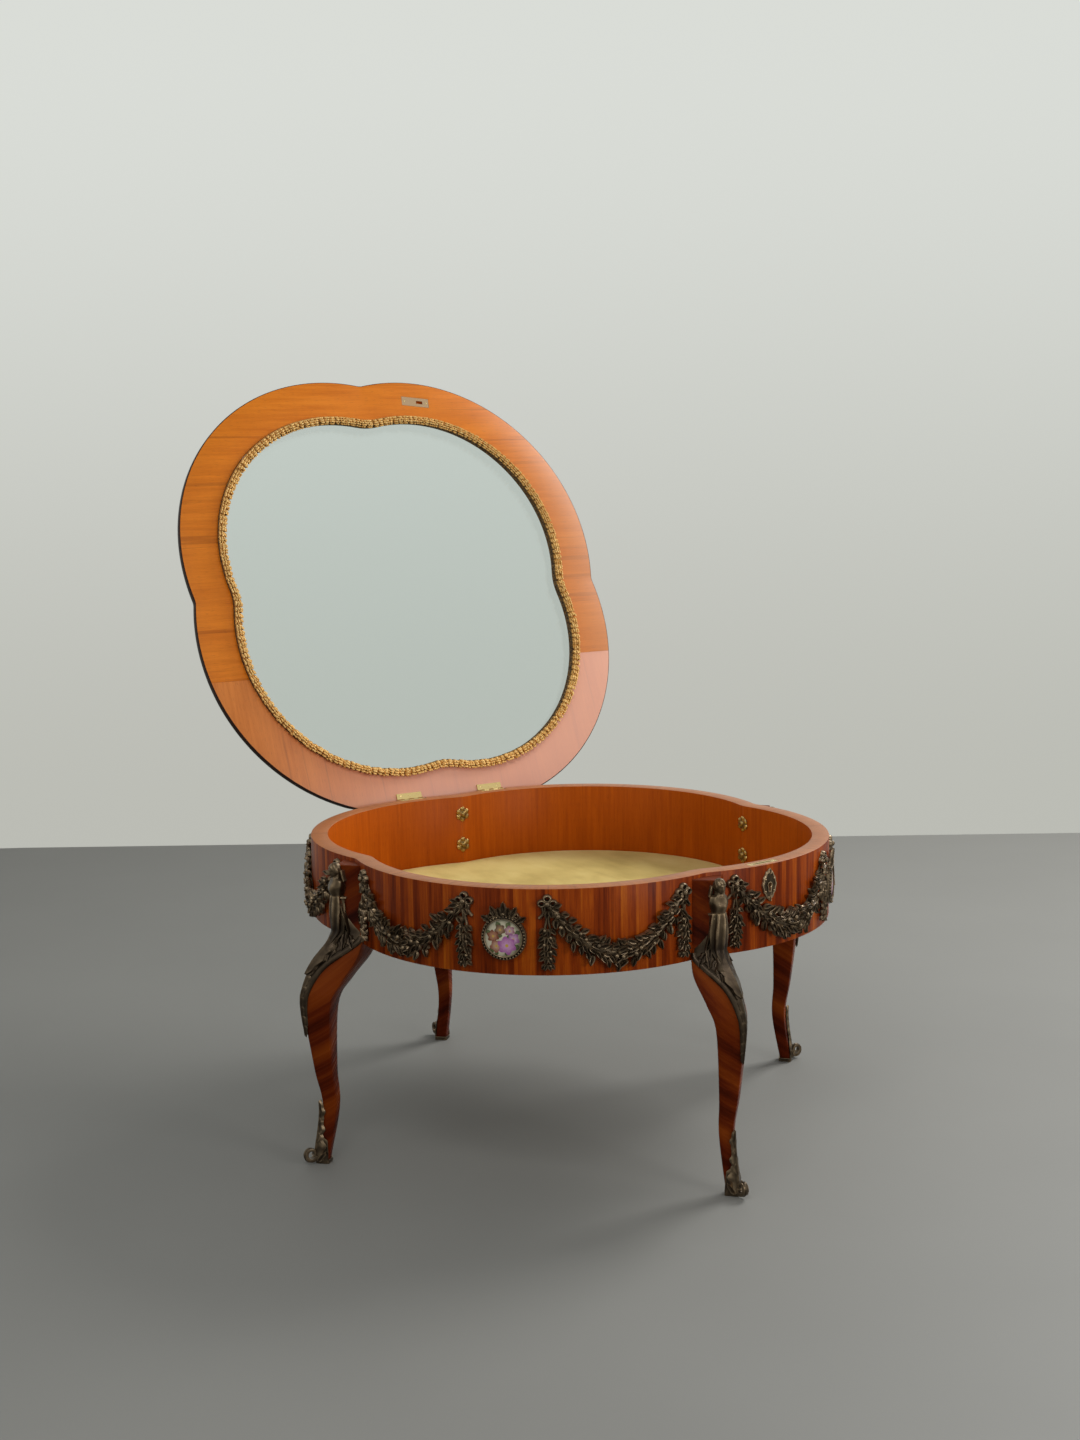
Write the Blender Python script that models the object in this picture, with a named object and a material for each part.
"""Low quatrefoil display table: a veneered case on four cabriole legs, with cast bronze mounts and a
hinged, glazed lid that stands open. Metres, +Z up. The hinge is at +Y, the lock beside the -Y leg.
The origin is on the floor, under the middle of the table with its lid open."""
import math

import bmesh
import bpy
from mathutils import Matrix, Vector

for old in list(bpy.data.objects):
    bpy.data.objects.remove(old)

# Fits
SEAT_GAP = 0.0003           # between pieces that touch
RUN_GAP = 0.0004            # between pieces that turn
OVERSHOOT = 0.05            # how far a cutter runs past what it cuts

# Case: four lobes of one radius, meeting in rounded notches
RIM_HEIGHT = 0.478          # floor to the top of the case wall
LOBE_OFFSET = 0.1081        # table centre to a lobe's own centre
LOBE_RADIUS = 0.3209        # outer face of the wall
NOTCH_FILLET = 0.031
WALL = 0.028
APRON_HEIGHT = 0.129
BOTTOM_THICK = 0.0065
BOTTOM_REBATE = 0.010
LINING_THICK = 0.003
LOBE_STEPS = 14
NOTCH_STEPS = 2

# Lid, glass and braid
LID_OVERHANG = 0.026
LID_NOTCH_FILLET = 0.030
LID_THICK = 0.020
LID_FRAME_WIDTH = 0.0715
LID_OPEN_ANGLE = math.radians(113.8)
LID_SEAM = 0.150            # glue line of the two boards, behind the table centre
GLASS_THICK = 0.005
GLASS_EDGE = 0.0025
GLASS_BEVEL = 0.038
GLASS_REBATE = 0.010
GLASS_SINK = 0.001          # glass below the lid's top face
BRAID_WIDTH = 0.013
BRAID_PROUD = 0.012         # its loops past the lid's underside

# Butt hinges
HINGE_LENGTH = 0.050
HINGE_SPREAD = 0.083        # a hinge's middle from the centre line
LEAF_THICK = 0.002
LEAF_WIDTH = 0.0105
KNUCKLE_RADIUS = 0.0042
KNUCKLES = 5
KNUCKLE_STANDOFF = 0.0005   # barrel behind the wall
TAB_INSET = 0.0001          # tabs to the knuckles are a hair thinner than the plate
PIN_RADIUS = 0.0016
PIN_HEAD_RADIUS = 0.0026
PIN_HEAD = 0.0012
LID_EDGE_PAST_AXIS = 0.004  # the lid is cut straight behind the hinge axis
LID_EDGE_BLADE = 0.0055     # its thickness there, bevelled up to full thickness
LID_EDGE_BEVEL = 0.0205

# Legs
POST_DROP = 0.006           # post top under the rim
BACK_POST_DROP = 0.014      # the back post is pared lower, clear of the open lid's edge
ARRIS_FLAT = 0.0025
BOLT_RADIUS = 0.004
BOLT_DEPTH = 0.016          # into the post
BOLT_DROPS = (0.032, 0.088) # under the rim
ROSETTE_RADIUS = 0.0125
ROSETTE_THICK = 0.006
ROSETTE_PETALS = 5
ROSETTE_SWELL = 0.12
ROSETTE_PROFILE = ((1, 0, 1), (0.9, 0.5, 1), (0.45, 0.6, 0.3), (0.25, 1, 0))  # radius, height, swell: shares
# Share of the height under the case; outer arris, inner arris (both from the notch); width
LEG_STATIONS = (
    (0.000, 0.0800, 0.0515, 0.0285),
    (0.241, 0.0685, 0.0370, 0.0305),
    (0.430, 0.0810, 0.0395, 0.0410),
    (0.721, 0.0960, 0.0340, 0.0580),
    (0.830, 0.0900, 0.0080, 0.0690),
    (0.930, 0.0705, -0.0260, 0.0750),
    (0.999, 0.0470, -0.0280, 0.0680),
)
POST_REACH = (0.0320, -0.0280, 0.0620)
POST_START = 0.018          # above the case's lower edge

# Bronze leg mounts, from the knee strip over leaf and drapery to the neck: height (up to 1 a share of the
# leg under the case, past 1 a share of the case's own height), half width, how far proud of the arris
CHUTE_STATIONS = (
    (0.615, 0.0020, 0.0022),
    (0.730, 0.0062, 0.0050),
    (0.890, 0.0095, 0.0065),
    (1.030, 0.0210, 0.0110),
    (1.120, 0.0120, 0.0095),
    (1.380, 0.0135, 0.0110),
    (1.555, 0.0098, 0.0088),
    (1.680, 0.0125, 0.0130),
    (1.765, 0.0140, 0.0105),
    (1.815, 0.0048, 0.0070),
    (1.850, 0.0046, 0.0070),
)
HEAD_RADIUS = 0.0085
HEAD_STRETCH = 1.2
HEAD_PROUD = 0.0045
HEAD_TOP_DROP = 0.0025      # crown of the head under the rim
BUST_START = 1.5            # what stands above this share is the bust
BACK_BUST_DROP = 0.006      # the back bust stands lower, clear of the open lid

# Sabots, open behind the leg, with a C-scroll for a toe
SABOT_HEIGHT = 0.042        # at the outer arris
SABOT_HEEL = 0.0065         # behind the side arrises
SABOT_WALL = 0.0022
SABOT_FLOOR = 0.005
SABOT_BULGES = (1.2, 1.3, 1.0, 1.4)         # of the wall, from the floor to the top
TOE_RADIUS = 0.0125
TOE_BAND = 0.0042
TOE_REACH = 0.008           # middle of the scroll beyond the foot's outer arris
TOE_WIDTH = 0.0085
TOE_LIFT = 0.006            # scroll above the floor
TOE_SWEEP = (-160, 135)     # degrees, from the foot round under and over
TOE_STEPS = 6
TONGUE_TOP = 0.100
TONGUE_HALF_WIDTH = 0.0075
TONGUE_PROUD = 0.0035
TONGUE_SHAPE = ((0.0, 0.9, 0.9), (0.3, 1.0, 1.0), (0.6, 0.75, 0.75), (1.0, 0.25, 0.6))  # height, width, proud

# Garlands, in degrees round a lobe from its middle and drops under the rim
GARLANDS = {"near": (-10.0, -50.2), "far": (12.2, 50.2)}      # inner and outer knot
KNOT_DROP = 0.023
KNOT_RADIUS = 0.0095
KNOT_HALF_WIDTH = 0.0143
SWAG_SAG = 0.077
SWAG_END_RADIUS = 0.0085
SWAG_MID_RADIUS = 0.0165
SWAG_STEPS = 7
DROP_LENGTH = 0.100
DROP_RADIUS = 0.0095
DROP_TAIL_RADIUS = 0.0045
DROP_STEPS = 3
CLUSTER_SWELL = 0.16
RELIEF_SINK = 0.25          # share of a casting's radius that its back is sunk

# Plaques at the middle of each lobe
PLAQUE_ANGLE = 0.8          # degrees round the lobe from its middle
PLAQUE_DROP = 0.0725        # its middle under the rim
PLAQUE_RADIUS = 0.029
PLAQUE_THICK = 0.0045
PLAQUE_CROWN = 0.0022
PLAQUE_RINGS = (1.0, 0.5)
FRAME_LIP = 0.0015
FRAME_BAND = 0.0045
FRAME_DEPTH = 0.0075
FRAME_SHOULDER = 0.0045     # height of the band's outer edge
FRAME_LIP_DEPTH = 0.0064
FRAME_BEADS = 8
BEAD_SWELL = 0.018
BEAD_PHASE = 0.25           # of a facet, so that no facet edge lies in the lobe's middle plane
CREST_RADIUS = 0.0085
CREST_SINK = 0.0007
# Leaves of the crest in crest radii, sideways and above the band's top
CREST_LEAVES = ((0, 1.65), (-1.0, 0.8), (1.0, 0.8), (-1.95, 0.0), (1.95, 0.0))

# Lock, on the lobe right of the front leg
LOCK_ANGLE = -38.5
LOCK_WIDTH = 0.046
LOCK_HEIGHT = 0.034
LOCK_THICK = 0.009
SELVEDGE_LENGTH = 0.058
SELVEDGE_WIDTH = 0.013
SELVEDGE_THICK = 0.002
HOOK_THICK = 0.003
HOOK_PIVOT_DROP = 0.012     # pivot under the rim
HOOK_HUB = 0.005
HOOK_BAND = 0.0034
HOOK_PIN = 0.0022
HOOK_HEEL = -14             # the hook's own outline, in degrees round its pivot
HOOK_TIP = 36
HOOK_ROOT = 8
HOOK_HUB_SWEEP = (35, 320)
HOOK_SLOT_FOOT = 0.007      # slot under the pivot
STRIKER_LENGTH = 0.057
STRIKER_WIDTH = 0.018
STRIKER_THICK = 0.002
STRIKER_HOLE = (0.0020, 0.0155)
STRIKER_HOLE_WIDTH = 0.006
STRIKER_POCKET = 0.009
KEY_BORE = 0.0032
ESCUTCHEON_DROP = 0.032     # its keyhole under the rim
ESCUTCHEON_SIZE = (0.030, 0.050)
ESCUTCHEON_THICK = 0.0035
ESCUTCHEON_SCROLLS = ((4, 0.10), (8, 0.05))
KEYHOLE_SLOT = 0.0015
KEYHOLE_DROP = 0.009

# Colours: base, roughness, metallic
VENEER = ((0.22, 0.055, 0.018), 0.32, 0.0)
VENEER_PALE = ((0.42, 0.14, 0.030), 0.36, 0.0)
BRONZE = ((0.075, 0.058, 0.042), 0.42, 1.0)
BRASS = ((0.62, 0.43, 0.15), 0.30, 1.0)
STEEL = ((0.30, 0.29, 0.28), 0.40, 1.0)
VELVET = ((0.55, 0.40, 0.09), 0.95, 0.0)
GOLD_BRAID = ((0.48, 0.27, 0.05), 0.80, 0.0)
PORCELAIN = ((0.78, 0.72, 0.62), 0.15, 0.0)
GLASS = ((0.72, 0.80, 0.80), 0.03, 0.0)
PLYWOOD = ((0.40, 0.27, 0.15), 0.60, 0.0)

# Worked out from the driving dimensions
CASE_BOTTOM = RIM_HEIGHT - APRON_HEIGHT
HALF_CENTRES = LOBE_OFFSET / math.sqrt(2)
BACK_OF_WALL = HALF_CENTRES + LOBE_RADIUS
AXIS_Y = BACK_OF_WALL + KNUCKLE_RADIUS + KNUCKLE_STANDOFF
LEAF_STEP = LEAF_THICK + SEAT_GAP
AXIS_DROP = KNUCKLE_RADIUS + RUN_GAP - SEAT_GAP
AXIS_Z = RIM_HEIGHT - AXIS_DROP
UNDERSIDE = RIM_HEIGHT + SEAT_GAP - AXIS_Z          # lid's underside above the axis
LIFT = UNDERSIDE + LID_THICK
NOTCH_RADIUS = HALF_CENTRES - NOTCH_FILLET + math.sqrt(
    (LOBE_RADIUS + NOTCH_FILLET) ** 2 - HALF_CENTRES ** 2)
LOBES = {"front_left": 225, "front_right": 315, "back_right": 45, "back_left": 135}
NOTCHES = {"front": 270, "right": 0, "back": 90, "left": 180}

parts = bpy.data.collections.new("quatrefoil_display_table")
cutters = bpy.data.collections.new("cutters")
bpy.context.scene.collection.children.link(parts)
bpy.context.scene.collection.children.link(cutters)


def empty(name, parent=None, place=Matrix.Identity(4)):
    """An axis that pieces hang on."""
    axis = bpy.data.objects.new(name, None)
    axis.empty_display_size = 0.05
    axis.parent = parent
    axis.matrix_local = place
    parts.objects.link(axis)
    return axis


def turn_z(degrees):
    return Matrix.Rotation(math.radians(degrees), 4, "Z")


def at(x, y, z):
    return Matrix.Translation((x, y, z))


def finish(piece, look):
    """Its own material, from a colour, a roughness and a metallic value."""
    colour, roughness, metallic = look
    material = bpy.data.materials.new(piece.name)
    material.use_nodes = True
    shader = material.node_tree.nodes["Principled BSDF"]
    shader.inputs["Base Color"].default_value = (*colour, 1)
    shader.inputs["Roughness"].default_value = roughness
    shader.inputs["Metallic"].default_value = metallic
    piece.data.materials.clear()
    piece.data.materials.append(material)


def put(name, mesh, parent, place=Matrix.Identity(4), look=None):
    """A named piece on its parent; without a look it is a cutter."""
    piece = bpy.data.objects.new(name, mesh)
    (parts if look else cutters).objects.link(piece)
    piece.parent = parent
    piece.matrix_local = place
    if look:
        finish(piece, look)
        mesh.shade_smooth()
        mesh.set_sharp_from_angle(angle=math.radians(35))
    else:
        piece.hide_render = True
        piece.display_type = "WIRE"
    return piece


def boolean(piece, other, operation):
    modifier = piece.modifiers.new(other.name, "BOOLEAN")
    modifier.operation = operation
    modifier.solver = "EXACT"
    modifier.object = other


def cut(piece, *others):
    for other in others:
        boolean(piece, other, "DIFFERENCE")


def evaluated(piece):
    """The mesh that a piece's curve or modifiers make, with its loose caps welded."""
    bpy.context.view_layer.update()
    mesh = bpy.data.meshes.new_from_object(piece.evaluated_get(bpy.context.evaluated_depsgraph_get()))
    shape = bmesh.new()
    shape.from_mesh(mesh)
    bmesh.ops.remove_doubles(shape, verts=shape.verts, dist=1e-6)
    shape.to_mesh(mesh)
    shape.free()
    return mesh


def fused(*meshes):
    """One closed mesh from overlapping ones."""
    bodies = [put(f"body_{i}", mesh, None) for i, mesh in enumerate(meshes)]
    for other in bodies[1:]:
        boolean(bodies[0], other, "UNION")
    mesh = evaluated(bodies[0])
    for body in bodies:
        bpy.data.objects.remove(body)
    return mesh


def from_curve(curve):
    carrier = bpy.data.objects.new("carrier", curve)
    cutters.objects.link(carrier)
    mesh = evaluated(carrier)
    bpy.data.objects.remove(carrier)
    return mesh


def slab(loops, bottom, top):
    """A flat piece: the first loop is its outline, the others are holes."""
    curve = bpy.data.curves.new("outline", "CURVE")
    curve.dimensions = "2D"
    curve.fill_mode = "BOTH"
    curve.extrude = (top - bottom) / 2
    for loop in loops:
        spline = curve.splines.new("POLY")
        spline.points.add(len(loop) - 1)
        for point, (x, y) in zip(spline.points, loop):
            point.co = (x, y, 0, 1)
        spline.use_cyclic_u = True
    mesh = from_curve(curve)
    mesh.transform(at(0, 0, (top + bottom) / 2))
    return mesh


def tube(path, sides=2):
    """A round bar along (point, radius) pairs."""
    curve = bpy.data.curves.new("path", "CURVE")
    curve.dimensions = "3D"
    curve.bevel_depth = 1
    curve.bevel_resolution = sides
    curve.use_fill_caps = True
    spline = curve.splines.new("POLY")
    spline.points.add(len(path) - 1)
    for point, (place, radius) in zip(spline.points, path):
        point.co = (*place, 1)
        point.radius = radius
    return from_curve(curve)


def loft(rings, ring_shaped=False):
    """Skin over rings of equally many points, capped at both ends unless it closes on itself."""
    shape = bmesh.new()
    loops = [[shape.verts.new(point) for point in ring] for ring in rings]
    pairs = list(zip(loops, loops[1:]))
    if ring_shaped:
        pairs.append((loops[-1], loops[0]))
    else:
        shape.faces.new(loops[0])
        shape.faces.new(loops[-1])
    for low, high in pairs:
        for i in range(len(low)):
            j = (i + 1) % len(low)
            shape.faces.new((low[i], low[j], high[j]))
            shape.faces.new((low[i], high[j], high[i]))
    bmesh.ops.recalc_face_normals(shape, faces=shape.faces)
    mesh = bpy.data.meshes.new("loft")
    shape.to_mesh(mesh)
    shape.free()
    return mesh


def turned(profile, sides, petals=0, swell=0.0, ring_shaped=False, phase=0.0):
    """A shape turned about Z from (radius, height, share of petal swell) points."""
    rings = []
    for radius, height, share in profile:
        ring = []
        for i in range(sides):
            a = math.tau * (i + phase) / sides
            r = radius * (1 + swell * share * math.cos(petals * a))
            ring.append((r * math.cos(a), r * math.sin(a), height))
        rings.append(ring)
    return loft(rings, ring_shaped)


def box(low, high):
    shape = bmesh.new()
    bmesh.ops.create_cube(shape, size=1)
    low, high = Vector(low), Vector(high)
    size = high - low
    bmesh.ops.transform(shape, verts=shape.verts, matrix=at(*(low + high) / 2) @ Matrix.Diagonal((*size, 1)))
    mesh = bpy.data.meshes.new("box")
    shape.to_mesh(mesh)
    shape.free()
    return mesh


def ball(place, size, segments=8, rings=6):
    shape = bmesh.new()
    bmesh.ops.create_uvsphere(shape, u_segments=segments, v_segments=rings, radius=1)
    bmesh.ops.transform(shape, verts=shape.verts, matrix=at(*place) @ Matrix.Diagonal((*size, 1)))
    mesh = bpy.data.meshes.new("ball")
    shape.to_mesh(mesh)
    shape.free()
    return mesh


def rod(start, end, radius, sides=12):
    """A plain round rod between two points."""
    start, end = Vector(start), Vector(end)
    shape = bmesh.new()
    bmesh.ops.create_cone(shape, cap_ends=True, segments=sides, radius1=radius, radius2=radius,
                          depth=(end - start).length)
    facing = (end - start).to_track_quat("Z", "Y").to_matrix().to_4x4()
    bmesh.ops.transform(shape, verts=shape.verts, matrix=at(*(start + end) / 2) @ facing)
    mesh = bpy.data.meshes.new("rod")
    shape.to_mesh(mesh)
    shape.free()
    return mesh


def arc(radius, start, end, steps):
    """Points about the origin between two angles in degrees."""
    angles = [math.radians(start + (end - start) * i / steps) for i in range(steps + 1)]
    return [(radius * math.cos(a), radius * math.sin(a)) for a in angles]


def spline_through(points, steps):
    """A Catmull-Rom curve through tuples of any length."""
    rows = [tuple(2 * a - b for a, b in zip(points[0], points[1])), *points]
    rows.append(tuple(2 * a - b for a, b in zip(points[-1], points[-2])))
    curve = []
    for p0, p1, p2, p3 in zip(rows, rows[1:], rows[2:], rows[3:]):
        for step in range(steps):
            t = step / steps
            curve.append(tuple(
                b + t * (c - a) / 2 + t ** 2 * (a - 2.5 * b + 2 * c - d / 2)
                + t ** 3 * (1.5 * (b - c) + (d - a) / 2)
                for a, b, c, d in zip(p0, p1, p2, p3)))
    return curve + [tuple(points[-1])]


def lobe_path(offset, fillet):
    """One lobe along +X, notch to notch, its face moved out by an offset from the wall's outer face."""
    radius = LOBE_RADIUS + offset
    reach = HALF_CENTRES + math.sqrt((radius + fillet) ** 2 - HALF_CENTRES ** 2)
    corner = Vector((reach, reach)) / math.sqrt(2)
    swing = math.atan2(corner.y, corner.x - LOBE_OFFSET)
    lobe = []
    for i in range(LOBE_STEPS + 1):
        a = swing * (2 * i / LOBE_STEPS - 1)
        lobe.append((LOBE_OFFSET + radius * math.cos(a), radius * math.sin(a)))
    rise = []
    for i in range(1, NOTCH_STEPS + 1):
        a = math.pi + swing + (math.pi / 4 - swing) * i / NOTCH_STEPS
        rise.append((corner.x + fillet * math.cos(a), corner.y + fillet * math.sin(a)))
    fall = [(x, -y) for x, y in reversed(rise)]
    return fall + lobe + rise


def quatrefoil(offset, fillet):
    """The whole outline, counterclockwise."""
    outline = []
    for degrees in sorted(LOBES.values()):
        turn = turn_z(degrees)
        outline += [tuple((turn @ Vector((x, y, 0)))[:2]) for x, y in lobe_path(offset, fillet)[:-1]]
    return outline


def case_outline(offset):
    return quatrefoil(offset, NOTCH_FILLET - offset)


def on_wall(degrees, drop, proud=0.0):
    """A point on a lobe's wall under its rim, in the lobe's own frame."""
    a = math.radians(degrees)
    r = LOBE_RADIUS + proud
    return Vector((LOBE_OFFSET + r * math.cos(a), r * math.sin(a), RIM_HEIGHT - drop))


def wall_frame(degrees, drop, proud=0.0):
    """X along the wall, Y up and Z outwards at a place on a lobe's wall."""
    a = math.radians(degrees)
    out = Vector((math.cos(a), math.sin(a), 0))
    along = Vector((-out.y, out.x, 0))
    frame = Matrix((along, (0, 0, 1), out)).transposed().to_4x4()
    frame.translation = on_wall(degrees, drop, proud)
    return frame


# The table stands on the floor with the origin under the middle of its open outline
TOE_FRONT = NOTCH_RADIUS + LEG_STATIONS[0][1] + TOE_REACH + TOE_RADIUS
LID_REACH = AXIS_Y + HALF_CENTRES + LOBE_RADIUS + LID_OVERHANG
LID_BACK = AXIS_Y - LID_REACH * math.cos(LID_OPEN_ANGLE) + LIFT * math.sin(LID_OPEN_ANGLE)
table = empty("table", place=at(0, (TOE_FRONT - LID_BACK) / 2, 0))
hinge_line = empty("hinge_line", table, at(0, AXIS_Y, AXIS_Z) @ Matrix.Rotation(-LID_OPEN_ANGLE, 4, "X"))
lobe_axes = {name: empty(f"lobe_{name}", table, turn_z(angle)) for name, angle in LOBES.items()}
notch_axes = {name: empty(f"notch_{name}", table, turn_z(angle)) for name, angle in NOTCHES.items()}

# Cutters shared by several pieces
wall_clearance = put("wall_clearance", slab([case_outline(SEAT_GAP)], CASE_BOTTOM - SEAT_GAP,
                                            RIM_HEIGHT + OVERSHOOT), table)
bottom_rebate = put("bottom_rebate", slab([case_outline(BOTTOM_REBATE - WALL)], CASE_BOTTOM - OVERSHOOT,
                                          CASE_BOTTOM + BOTTOM_THICK + SEAT_GAP), table)
INNER_NOTCH = NOTCH_RADIUS - WALL
bolt_bores = {}
for name, axis in notch_axes.items():
    bores = [rod((INNER_NOTCH - OVERSHOOT, 0, RIM_HEIGHT - drop),
                 (NOTCH_RADIUS + BOLT_DEPTH + RUN_GAP, 0, RIM_HEIGHT - drop), BOLT_RADIUS + RUN_GAP, 8)
             for drop in BOLT_DROPS]
    bolt_bores[name] = [put(f"bolt_bore_{name}_{i}", bore, axis) for i, bore in enumerate(bores)]

# Lock frame: X along the wall, Y up from the hook's pivot, Z outwards from the middle of the wall
lock_frame = wall_frame(LOCK_ANGLE, HOOK_PIVOT_DROP, -WALL / 2)
LOCK_TOP = HOOK_PIVOT_DROP - SEAT_GAP
LOCK_FOOT = HOOK_PIVOT_DROP - LOCK_HEIGHT
lock_axis = empty("lock_pivot", lobe_axes["front_right"], lock_frame)


def box_across(length, low, high, thick):
    """A box centred on the lock's pivot, from one height to another."""
    return box((-length / 2, low, -thick / 2), (length / 2, high, thick / 2))


lock_pockets = [
    put("lock_pocket", box_across(
        LOCK_WIDTH + 2 * SEAT_GAP, LOCK_FOOT - SEAT_GAP,
        HOOK_PIVOT_DROP + OVERSHOOT, LOCK_THICK + 2 * SEAT_GAP), lock_axis),
    put("selvedge_pocket", box_across(
        SELVEDGE_LENGTH + 2 * SEAT_GAP, LOCK_TOP - SELVEDGE_THICK - SEAT_GAP,
        HOOK_PIVOT_DROP + OVERSHOOT, SELVEDGE_WIDTH + 2 * SEAT_GAP), lock_axis),
]
KEY_Y = HOOK_PIVOT_DROP - ESCUTCHEON_DROP
key_bore = put("key_bore", rod((0, KEY_Y, 0), (0, KEY_Y, WALL), KEY_BORE), lock_axis)

# Hinge mortises in the back of the rim, deep enough for both leaves
LEAF_INNER = AXIS_Y - KNUCKLE_RADIUS - RUN_GAP - LEAF_WIDTH
hinge_sides = {"left": -1, "right": 1}
hinge_mortises = {}
for side, sign in hinge_sides.items():
    low = (sign * HINGE_SPREAD - HINGE_LENGTH / 2 - SEAT_GAP, LEAF_INNER - SEAT_GAP,
           RIM_HEIGHT - 2 * LEAF_STEP)
    high = (sign * HINGE_SPREAD + HINGE_LENGTH / 2 + SEAT_GAP, AXIS_Y + OVERSHOOT, RIM_HEIGHT + OVERSHOOT)
    hinge_mortises[side] = put(f"hinge_mortise_{side}", box(low, high), table)


def apron_panel():
    """One bent wall panel, cut off square at the middle of its two notches."""
    half = SEAT_GAP / 2 / math.sqrt(2)
    faces = [lobe_path(0, NOTCH_FILLET), lobe_path(-WALL, NOTCH_FILLET + WALL)]
    for face in faces:
        (x0, y0), (x1, y1) = face[0], face[-1]
        face[0] = (x0 + half, y0 + half)
        face[-1] = (x1 + half, y1 - half)
    return slab([faces[0] + faces[1][::-1]], CASE_BOTTOM, RIM_HEIGHT)


NEIGHBOURS = {"front_left": ("left", "front"), "front_right": ("front", "right"),
              "back_right": ("right", "back"), "back_left": ("back", "left")}
for name, axis in lobe_axes.items():
    panel = put(f"apron_{name}", apron_panel(), axis, look=VENEER)
    cut(panel, bottom_rebate)
    for notch in NEIGHBOURS[name]:
        cut(panel, *bolt_bores[notch])
    if name == "front_right":
        cut(panel, *lock_pockets, key_bore)
    if name.startswith("back"):
        cut(panel, hinge_mortises[name.split("_")[1]])

put("bottom_panel", slab([case_outline(BOTTOM_REBATE - WALL - SEAT_GAP)], CASE_BOTTOM,
                         CASE_BOTTOM + BOTTOM_THICK), table, look=PLYWOOD)
LINING_BED = CASE_BOTTOM + BOTTOM_THICK + SEAT_GAP
put("velvet_lining", slab([case_outline(-WALL - SEAT_GAP)], LINING_BED, LINING_BED + LINING_THICK), table,
    look=VELVET)

# Legs: diamond sections with an arris outwards, the post let into the notch of the case
FOOT = SABOT_FLOOR + SEAT_GAP
leg_line = [(FOOT + share * (CASE_BOTTOM - FOOT), *rest) for share, *rest in LEG_STATIONS]
leg_line.append((CASE_BOTTOM + POST_START, *POST_REACH))
leg_line = spline_through(leg_line, 2)
leg_line.append((RIM_HEIGHT - POST_DROP, *POST_REACH))


def leg_at(height):
    """Outer arris, inner arris and width of the leg at a height, both arrises from the table centre."""
    below, above = leg_line[0], leg_line[-1]
    for low, high in zip(leg_line, leg_line[1:]):
        if low[0] <= height <= high[0]:
            below, above = low, high
    span = above[0] - below[0]
    t = min(max((height - below[0]) / span, 0), 1)
    outer, inner, width = [a + t * (b - a) for a, b in zip(below[1:], above[1:])]
    return NOTCH_RADIUS + outer, NOTCH_RADIUS + inner, width


def leg_ring(height, grow=0.0):
    """The leg's section: a diamond with its four arrises taken off."""
    outer, inner, width = leg_at(height)
    outer, inner, half = outer + grow, inner - grow, width / 2 + grow
    middle = (outer + inner) / 2
    corners = [(outer, 0), (middle, half), (inner, 0), (middle, -half)]
    ring = []
    for i, (x, y) in enumerate(corners):
        for nx, ny in (corners[i - 1], corners[(i + 1) % 4]):
            share = ARRIS_FLAT / math.hypot(nx - x, ny - y)
            ring.append((x + share * (nx - x), y + share * (ny - y), height))
    return ring


def leg_body(grow=0.0, foot=FOOT):
    """The whole leg, or a grown one that reaches down to a lower foot."""
    rings = [leg_ring(row[0], grow) for row in leg_line]
    if foot < FOOT:
        rings.insert(0, [(x, y, foot) for x, y, z in rings[0]])
    return loft(rings)


LEG_GROW = math.sqrt(2) * SEAT_GAP      # a diamond's corners move further than its faces
leg_clearances = {}
for name, axis in notch_axes.items():
    leg = put(f"leg_{name}", leg_body(), axis, look=VENEER)
    cut(leg, wall_clearance, *bolt_bores[name])
    if name == "back":
        cut(leg, put("back_post_top", box((0, -OVERSHOOT, RIM_HEIGHT - BACK_POST_DROP),
                                          (AXIS_Y + OVERSHOOT, OVERSHOOT, RIM_HEIGHT + OVERSHOOT)), axis))
    leg_clearances[name] = put(f"leg_clearance_{name}", leg_body(LEG_GROW, SABOT_FLOOR), axis)


def bolt():
    """Brass rosette on a bolt, standing along +Z with its seat at height 0."""
    shank = BOLT_DEPTH + WALL
    profile = [(BOLT_RADIUS, -shank, 0), (BOLT_RADIUS, 0, 0)]
    profile += [(ROSETTE_RADIUS * r, ROSETTE_THICK * h, swell) for r, h, swell in ROSETTE_PROFILE]
    return turned(profile, 2 * ROSETTE_PETALS, ROSETTE_PETALS, ROSETTE_SWELL)


for name, axis in notch_axes.items():
    for level, drop in zip(("upper", "lower"), BOLT_DROPS):
        seat = at(INNER_NOTCH - SEAT_GAP, 0, RIM_HEIGHT - drop) @ Matrix.Rotation(-math.pi / 2, 4, "Y")
        put(f"leg_bolt_{name}_{level}", bolt(), axis, seat, BRASS)


def oval_ring(height, half_width, proud, points=7):
    """A section of a casting that sits astride the leg's outer arris."""
    outer = leg_at(height)[0]
    ring = []
    for i in range(points):
        a = math.tau * i / points
        ring.append((outer + proud * math.sin(a), half_width * math.cos(a), height))
    return ring


def chute_height(share):
    """Up to 1 a share of the leg under the case, above 1 of the apron's height."""
    return share * CASE_BOTTOM if share <= 1 else CASE_BOTTOM + (share - 1) * APRON_HEIGHT


def chute(sunk=0.0):
    """Bust over drapery, a leaf on the knee and a strip that runs down the arris."""
    rings = []
    for share, half_width, proud in CHUTE_STATIONS:
        height = chute_height(share) - (sunk if share > BUST_START else 0)
        rings.append(oval_ring(height, half_width, proud))
    middle = RIM_HEIGHT - HEAD_TOP_DROP - sunk - HEAD_RADIUS * HEAD_STRETCH
    place = (leg_at(middle)[0] + HEAD_PROUD, 0, middle)
    head = ball(place, (HEAD_RADIUS, HEAD_RADIUS, HEAD_RADIUS * HEAD_STRETCH))
    return fused(loft(rings), head)


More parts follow.
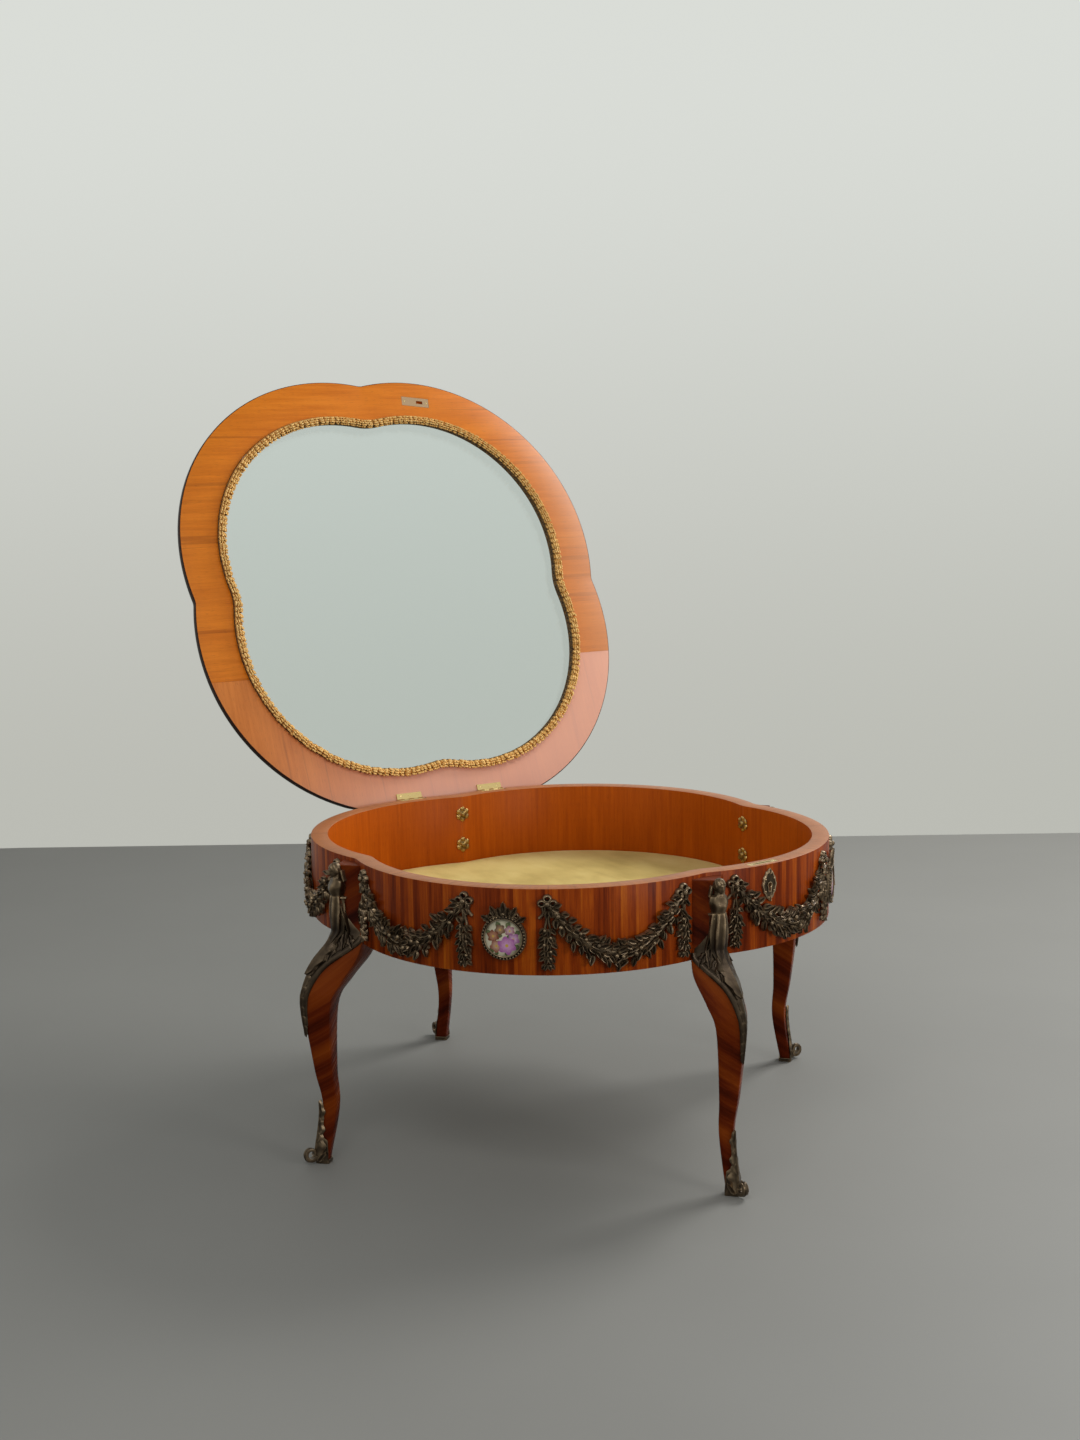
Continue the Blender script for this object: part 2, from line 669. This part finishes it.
for name, axis in notch_axes.items():
    mount = put(f"bust_mount_{name}", chute(BACK_BUST_DROP if name == "back" else 0), axis, look=BRONZE)
    cut(mount, leg_clearances[name], wall_clearance)


UPRIGHT = Matrix.Rotation(math.pi / 2, 4, "X")      # stands a flat outline up in the plane of X and Z


def sabot():
    """A cast shoe: a thin sole, wings on the leg's outer faces, a scrolled toe and a leaf up the arris."""
    cup = []
    for i, bulge in enumerate(SABOT_BULGES):
        z = SABOT_HEIGHT * i / (len(SABOT_BULGES) - 1)
        cup.append([(x, y, z) for x, y, h in leg_ring(max(z, FOOT), SABOT_WALL * bulge)])
    outer, inner, width = leg_at(FOOT)
    side, back = (outer + inner) / 2, inner - OVERSHOOT
    top = (leg_at(SABOT_HEIGHT)[0], SABOT_HEIGHT)
    behind = slab([[(back, SABOT_HEEL), (side, SABOT_HEEL), top, (top[0], SABOT_HEIGHT + OVERSHOOT),
                    (back, SABOT_HEIGHT + OVERSHOOT)]], -width, width)
    behind.transform(UPRIGHT)
    shoe = put("shoe", loft(cup), None)
    opening = put("shoe_opening", behind, None)
    cut(shoe, opening)
    wings = evaluated(shoe)
    for scrap in (shoe, opening):
        bpy.data.objects.remove(scrap)
    start, end = TOE_SWEEP
    scroll = arc(TOE_RADIUS, start, end, TOE_STEPS) + arc(TOE_RADIUS - TOE_BAND, end, start, TOE_STEPS)
    toe = slab([scroll], -TOE_WIDTH / 2, TOE_WIDTH / 2)
    toe.transform(at(outer + TOE_REACH, 0, TOE_LIFT + TOE_RADIUS) @ UPRIGHT)
    low = SABOT_HEIGHT / 2
    tongue = [oval_ring(low + (TONGUE_TOP - low) * rise, TONGUE_HALF_WIDTH * width, TONGUE_PROUD * proud)
              for rise, width, proud in TONGUE_SHAPE]
    return fused(wings, toe, loft(tongue))


for name, axis in notch_axes.items():
    shoe = put(f"sabot_{name}", sabot(), axis, look=BRONZE)
    cut(shoe, leg_clearances[name])


def cluster(index, count):
    """Leaves swell and draw in along a garland."""
    return 1 + CLUSTER_SWELL * math.cos(math.pi * index) if 0 < index < count else 1


def hung(degrees, drop, radius):
    """A point of a casting on the wall, sunk a little so that its back is cut flat."""
    return on_wall(degrees, drop, -RELIEF_SINK * radius), radius


def garland(inner, outer):
    """A leafy swag between two ribbon knots, with a drop under each."""
    swag = []
    for i in range(SWAG_STEPS + 1):
        t = i / SWAG_STEPS
        radius = SWAG_END_RADIUS + (SWAG_MID_RADIUS - SWAG_END_RADIUS) * math.sin(math.pi * t)
        sag = KNOT_DROP + SWAG_SAG * 4 * t * (1 - t)
        swag.append(hung(inner + (outer - inner) * t, sag, radius * cluster(i, SWAG_STEPS)))
    bodies = [tube(swag, 1)]
    for end in (inner, outer):
        drop = []
        for i in range(DROP_STEPS + 1):
            t = i / DROP_STEPS
            radius = DROP_RADIUS + (DROP_TAIL_RADIUS - DROP_RADIUS) * t
            drop.append(hung(end, KNOT_DROP + DROP_LENGTH * t, radius * cluster(i, DROP_STEPS)))
        bodies.append(tube(drop, 1))
        bodies.append(ball(on_wall(end, KNOT_DROP), (KNOT_RADIUS, KNOT_HALF_WIDTH, KNOT_RADIUS), 6, 4))
    return fused(*bodies)


for name, axis in lobe_axes.items():
    for hand, knots in GARLANDS.items():
        swag = put(f"garland_{name}_{hand}", garland(*knots), axis, look=BRONZE)
        cut(swag, wall_clearance)


def plaque_frame():
    """A beaded ring with a lip over the porcelain and a small crest, standing on z = 0."""
    seat = PLAQUE_RADIUS + SEAT_GAP
    outer = seat + FRAME_BAND
    lip = PLAQUE_RADIUS - FRAME_LIP
    step = PLAQUE_THICK + SEAT_GAP
    profile = [(outer, -FRAME_DEPTH, 0), (outer, FRAME_SHOULDER, 1), (outer - FRAME_BAND / 2, FRAME_DEPTH, 1),
               (lip, FRAME_LIP_DEPTH, 0), (lip, step, 0), (seat, step, 0), (seat, -FRAME_DEPTH, 0)]
    ring = turned(profile, 2 * FRAME_BEADS, FRAME_BEADS, BEAD_SWELL, True, BEAD_PHASE)
    leaves = [(x * CREST_RADIUS, outer + y * CREST_RADIUS) for x, y in CREST_LEAVES]
    crest = [ball((x, y, -CREST_SINK), (CREST_RADIUS, CREST_RADIUS, FRAME_DEPTH), 6, 4) for x, y in leaves]
    return fused(ring, *crest)


def plaque():
    """A domed porcelain disc, its facets in line with its frame's."""
    face = PLAQUE_RADIUS - FRAME_LIP - SEAT_GAP
    profile = [(PLAQUE_RADIUS, 0, 0), (PLAQUE_RADIUS, PLAQUE_THICK, 0)]
    for share in PLAQUE_RINGS:
        profile.append((face * share, PLAQUE_THICK + PLAQUE_CROWN * (1 - share ** 2), 0))
    return turned(profile, 2 * FRAME_BEADS, phase=BEAD_PHASE)


for name, axis in lobe_axes.items():
    seat = wall_frame(PLAQUE_ANGLE, PLAQUE_DROP, SEAT_GAP)
    put(f"plaque_{name}", plaque(), axis, seat, PORCELAIN)
    surround = put(f"plaque_frame_{name}", plaque_frame(), axis, seat, BRONZE)
    cut(surround, wall_clearance)


def cartouche(width, height, points=32):
    """A keyhole plate's scrolled outline."""
    outline = []
    for i in range(points):
        a = math.tau * i / points
        r = 1 + sum(depth * (math.cos(count * a) - 1) for count, depth in ESCUTCHEON_SCROLLS)
        outline.append((width / 2 * r * math.cos(a), height / 2 * r * math.sin(a)))
    return outline


def keyhole(steps=10):
    """A round hole over a slot."""
    slot = math.asin(KEYHOLE_SLOT / KEY_BORE)
    outline = []
    for i in range(steps + 1):
        a = -math.pi / 2 + slot + (math.tau - 2 * slot) * i / steps
        outline.append((KEY_BORE * math.cos(a), KEY_BORE * math.sin(a)))
    return outline + [(-KEYHOLE_SLOT, -KEYHOLE_DROP), (KEYHOLE_SLOT, -KEYHOLE_DROP)]


key_plate = slab([cartouche(*ESCUTCHEON_SIZE), keyhole()], -ESCUTCHEON_THICK, ESCUTCHEON_THICK)
escutcheon = put("escutcheon", key_plate, lobe_axes["front_right"],
                 wall_frame(LOCK_ANGLE, ESCUTCHEON_DROP), BRONZE)
cut(escutcheon, wall_clearance)

# Lock: a thin case under a brass selvedge, a slot through both, and a hook that swings up out of it
HOOK_INNER = HOOK_PIVOT_DROP + 2 * SEAT_GAP + STRIKER_THICK + RUN_GAP
HOOK_OUTER = HOOK_INNER + HOOK_BAND
slot_half = HOOK_OUTER + RUN_GAP
hook_slot = box((-slot_half, -HOOK_SLOT_FOOT, -HOOK_THICK / 2 - RUN_GAP),
                (slot_half, HOOK_PIVOT_DROP + OVERSHOOT, HOOK_THICK / 2 + RUN_GAP))
lock_shell = put("lock_shell", fused(
    box_across(LOCK_WIDTH, LOCK_FOOT, LOCK_TOP - SELVEDGE_THICK / 2, LOCK_THICK),
    box_across(SELVEDGE_LENGTH, LOCK_TOP - SELVEDGE_THICK, LOCK_TOP, SELVEDGE_WIDTH)), lock_axis)
slot_cutter = put("hook_slot", hook_slot, lock_axis)
cut(lock_shell, slot_cutter)
lock_body = evaluated(lock_shell)
pin_half = (LOCK_THICK + HOOK_THICK) / 4
pivot = rod((0, 0, -pin_half), (0, 0, pin_half), HOOK_PIN)
put("lock_body", fused(lock_body, pivot), lock_axis, look=STEEL)
for scrap in (lock_shell, slot_cutter):
    bpy.data.objects.remove(scrap)


hook_outline = arc(HOOK_OUTER, HOOK_HEEL, HOOK_TIP, 8) + arc(HOOK_INNER, HOOK_TIP, HOOK_ROOT, 5)
hook_outline += arc(HOOK_HUB, *HOOK_HUB_SWEEP, 12)
hook_bore = arc(HOOK_PIN + RUN_GAP, 0, 330, 11)
put("lock_hook", slab([hook_outline, hook_bore], -HOOK_THICK / 2, HOOK_THICK / 2), lock_axis, look=STEEL)


def hinge_leaf(bottom, knuckles):
    """A plate towards -Y, at a height, with tabs to its own knuckles on the axis along X."""
    pitch = HINGE_LENGTH / KNUCKLES
    near = -KNUCKLE_RADIUS - RUN_GAP
    top = bottom + LEAF_THICK
    bodies = [box((-HINGE_LENGTH / 2, near - LEAF_WIDTH, bottom), (HINGE_LENGTH / 2, near, top))]
    for i in knuckles:
        low = -HINGE_LENGTH / 2 + pitch * i + (RUN_GAP / 2 if i else 0)
        high = -HINGE_LENGTH / 2 + pitch * (i + 1) - (RUN_GAP / 2 if i < KNUCKLES - 1 else 0)
        bodies.append(box((low + TAB_INSET, near - LEAF_THICK, bottom + TAB_INSET),
                          (high - TAB_INSET, 0, top - TAB_INSET)))
        bodies.append(rod((low, 0, 0), (high, 0, 0), KNUCKLE_RADIUS, 8))
    mesh = fused(*bodies)
    leaf = put("leaf", mesh, None)
    bore = put("bore", rod((-HINGE_LENGTH, 0, 0), (HINGE_LENGTH, 0, 0), PIN_RADIUS + RUN_GAP, 6), None)
    cut(leaf, bore)
    mesh = evaluated(leaf)
    bpy.data.objects.remove(leaf)
    bpy.data.objects.remove(bore)
    return mesh


LID_LEAF_BOTTOM = UNDERSIDE - SEAT_GAP - LEAF_THICK
CASE_LEAF_BOTTOM = LID_LEAF_BOTTOM - LEAF_STEP
for side, sign in hinge_sides.items():
    put(f"hinge_case_leaf_{side}", hinge_leaf(CASE_LEAF_BOTTOM, range(0, KNUCKLES, 2)), table,
        at(sign * HINGE_SPREAD, AXIS_Y, AXIS_Z), BRASS)
    put(f"hinge_lid_leaf_{side}", hinge_leaf(LID_LEAF_BOTTOM, range(1, KNUCKLES, 2)), hinge_line,
        at(sign * HINGE_SPREAD, 0, 0), BRASS)
    end = HINGE_LENGTH / 2 + SEAT_GAP
    profile = [(PIN_HEAD_RADIUS, -end - PIN_HEAD, 0), (PIN_HEAD_RADIUS, -end, 0), (PIN_RADIUS, -end, 0),
               (PIN_RADIUS, end, 0), (PIN_HEAD_RADIUS, end, 0), (PIN_HEAD_RADIUS, end + PIN_HEAD, 0)]
    put(f"hinge_pin_{side}", turned(profile, 6), table,
        at(sign * HINGE_SPREAD, AXIS_Y, AXIS_Z) @ Matrix.Rotation(math.pi / 2, 4, "Y"), BRASS)


def lid_outline(inset):
    """An outline of the lid, in the lid's own frame with its hinge axis at the origin."""
    outline = quatrefoil(LID_OVERHANG - inset, LID_NOTCH_FILLET + inset)
    return [(x, min(y - AXIS_Y, LID_EDGE_PAST_AXIS)) for x, y in outline]


# Lid frame of two boards, closed flat in its own frame, with a rebate for the glass in its top
LEDGE = LIFT - GLASS_SINK - GLASS_THICK - SEAT_GAP
rebate = slab([lid_outline(LID_FRAME_WIDTH - GLASS_REBATE)], LEDGE, LIFT + OVERSHOOT)
glass_rebate = put("glass_rebate", rebate, hinge_line)
blade = UNDERSIDE + LID_EDGE_BLADE
past_edge = LID_EDGE_PAST_AXIS + OVERSHOOT
bevel_start = LID_EDGE_PAST_AXIS - LID_EDGE_BEVEL
wedge = [(past_edge, blade), (LID_EDGE_PAST_AXIS, blade), (bevel_start, LIFT),
         (bevel_start, LIFT + OVERSHOOT), (past_edge, LIFT + OVERSHOOT)]
back_bevel = slab([wedge], -LOBE_RADIUS, LOBE_RADIUS)
back_bevel.transform(Matrix(((0, 0, 1, 0), (1, 0, 0, 0), (0, 1, 0, 0), (0, 0, 0, 1))))
back_bevel = put("back_bevel", back_bevel, hinge_line)
over_lock = at(0, -AXIS_Y, -AXIS_Z) @ turn_z(LOBES["front_right"]) @ lock_frame
striker_axis = empty("striker_seat", hinge_line, over_lock)
STRIKER_FACE = HOOK_PIVOT_DROP + SEAT_GAP
STRIKER_TOP = STRIKER_FACE + STRIKER_THICK
striker_pockets = [
    put("striker_recess", box_across(
        STRIKER_LENGTH + 2 * SEAT_GAP, STRIKER_FACE - OVERSHOOT,
        STRIKER_TOP + SEAT_GAP, STRIKER_WIDTH + 2 * SEAT_GAP), striker_axis),
    put("striker_pocket", box(
        (-HOOK_OUTER / 2, STRIKER_FACE, -STRIKER_HOLE_WIDTH / 2),
        (HOOK_OUTER, STRIKER_FACE + STRIKER_POCKET, STRIKER_HOLE_WIDTH / 2)), striker_axis),
]
seam_y = LID_SEAM - AXIS_Y
halves = {
    "front": ((-LID_REACH, seam_y - SEAT_GAP / 2, -OVERSHOOT), (LID_REACH, OVERSHOOT, LIFT + OVERSHOOT)),
    "back": ((-LID_REACH, -2 * LID_REACH, -OVERSHOOT), (LID_REACH, seam_y + SEAT_GAP / 2, LIFT + OVERSHOOT)),
}
for name, corners in halves.items():
    board = put(f"lid_frame_{name}", slab([lid_outline(0), lid_outline(LID_FRAME_WIDTH)], UNDERSIDE, LIFT),
                hinge_line, look=VENEER_PALE)
    other_half = put(f"lid_half_{name}", box(*corners), hinge_line)
    cut(board, glass_rebate, other_half)
    cut(board, *(striker_pockets if name == "front" else [back_bevel]))


def raised(outline, height):
    return [(x, y, height) for x, y in outline]


glass_inset = LID_FRAME_WIDTH - GLASS_REBATE + SEAT_GAP
glass_low = LEDGE + SEAT_GAP
put("glass_pane", loft([raised(lid_outline(glass_inset), glass_low),
                        raised(lid_outline(glass_inset), glass_low + GLASS_EDGE),
                        raised(lid_outline(glass_inset + GLASS_BEVEL), glass_low + GLASS_THICK)]),
    hinge_line, look=GLASS)
put("braid_trim", slab([lid_outline(LID_FRAME_WIDTH + SEAT_GAP), lid_outline(LID_FRAME_WIDTH + BRAID_WIDTH)],
                       UNDERSIDE - BRAID_PROUD, LEDGE), hinge_line, look=GOLD_BRAID)
striker_hole = [(STRIKER_HOLE[0], -STRIKER_HOLE_WIDTH / 2), (STRIKER_HOLE[1], -STRIKER_HOLE_WIDTH / 2),
                (STRIKER_HOLE[1], STRIKER_HOLE_WIDTH / 2), (STRIKER_HOLE[0], STRIKER_HOLE_WIDTH / 2)]
striker_edge = [(x * STRIKER_LENGTH / 2, y * STRIKER_WIDTH / 2)
                for x, y in ((-1, -1), (1, -1), (1, 1), (-1, 1))]
striker_mesh = slab([striker_edge, striker_hole], STRIKER_FACE, STRIKER_TOP)
striker_mesh.transform(UPRIGHT.inverted())
put("striker_plate", striker_mesh, striker_axis, look=BRASS)
